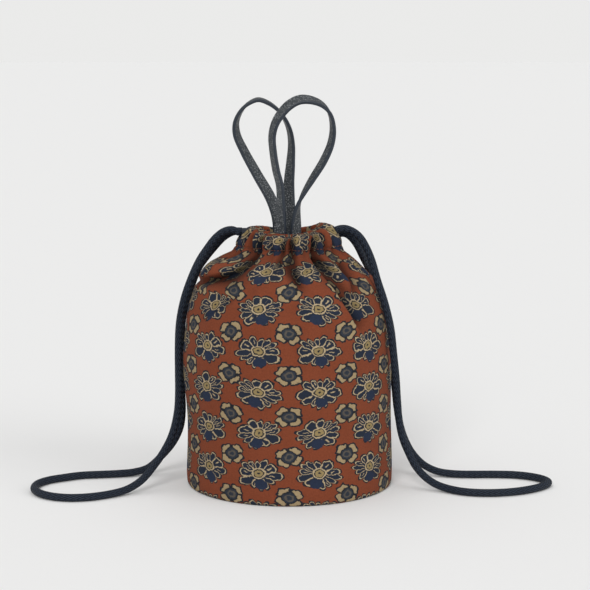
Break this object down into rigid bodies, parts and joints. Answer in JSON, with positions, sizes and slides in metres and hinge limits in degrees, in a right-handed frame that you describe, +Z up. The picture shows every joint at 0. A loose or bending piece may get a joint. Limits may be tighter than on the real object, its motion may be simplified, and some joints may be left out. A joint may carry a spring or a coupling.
{
  "type": "drawstring pouch",
  "caption": "Round-based cloth bucket pouch gathered at the mouth by a casing with drawstring loops out of both sides, with flat leather loop handles sewn inside the mouth",
  "frame": {"origin": "middle of the underside of the base, on the surface the pouch stands on", "axes": "+Z up, front of the pouch towards -Y, cord loops out towards -X and +X"},
  "size_m": [0.4513, 0.182, 0.3394],
  "materials": {
    "printed_cloth": "matte printed twill, rust ground",
    "lining_cloth": "matte plain weave",
    "board": "matte stiffening board",
    "leather": "pebbled grain with smooth painted edges",
    "cord": "tight round braid"
  },
  "bodies": {
    "root": {"body_panel": "printed_cloth", "base_panel": "printed_cloth", "base_board": "board", "lining": "lining_cloth", "handle_front": "leather", "handle_back": "leather", "cord_left_run": "cord", "cord_right_run": "cord", "cord_left_free": "cord", "cord_right_free": "cord"}
  },
  "joints": []
}
